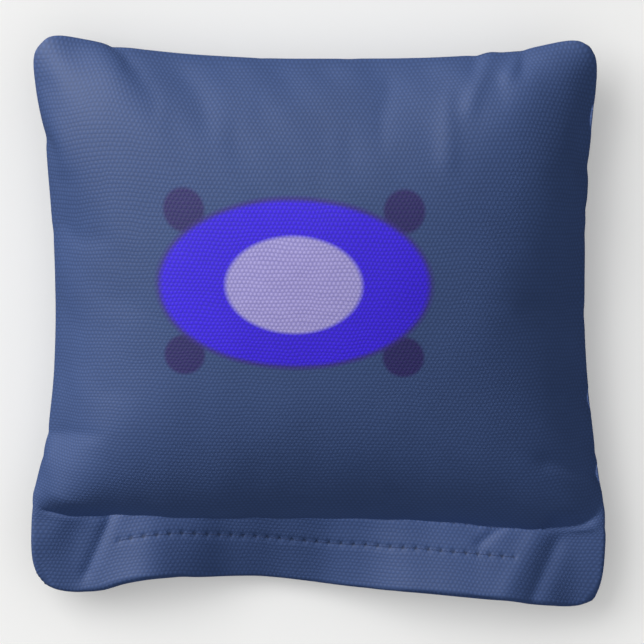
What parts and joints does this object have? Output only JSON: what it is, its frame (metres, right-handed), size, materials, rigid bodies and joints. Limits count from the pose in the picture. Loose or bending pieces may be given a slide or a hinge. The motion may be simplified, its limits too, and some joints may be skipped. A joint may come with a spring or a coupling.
{
  "type": "square juggling bean bag",
  "caption": "Soft square canvas bean bag for juggling and tossing, filled with loose kernels, with turned seams and a flat topstitched closing flange.",
  "frame": {"origin": "on the resting surface, under the middle of the bag's outline", "axes": "+Z out of the printed front, +Y from the closing flange to the top seam, +X to the right as the front is seen"},
  "size_m": [0.15, 0.1484, 0.042],
  "materials": {
    "canvas": "woven",
    "thread": "spun",
    "kernels": "satin"
  },
  "bodies": {
    "root": {"front_panel": "canvas", "back_panel": "canvas", "bean_fill": "kernels", "closing_upper_needle_thread": "thread", "closing_upper_bobbin_thread": "thread", "closing_lower_needle_thread": "thread", "closing_lower_bobbin_thread": "thread", "seam_outer_needle_thread": "thread", "seam_outer_bobbin_thread": "thread", "seam_inner_needle_thread": "thread", "seam_inner_bobbin_thread": "thread"}
  },
  "joints": []
}
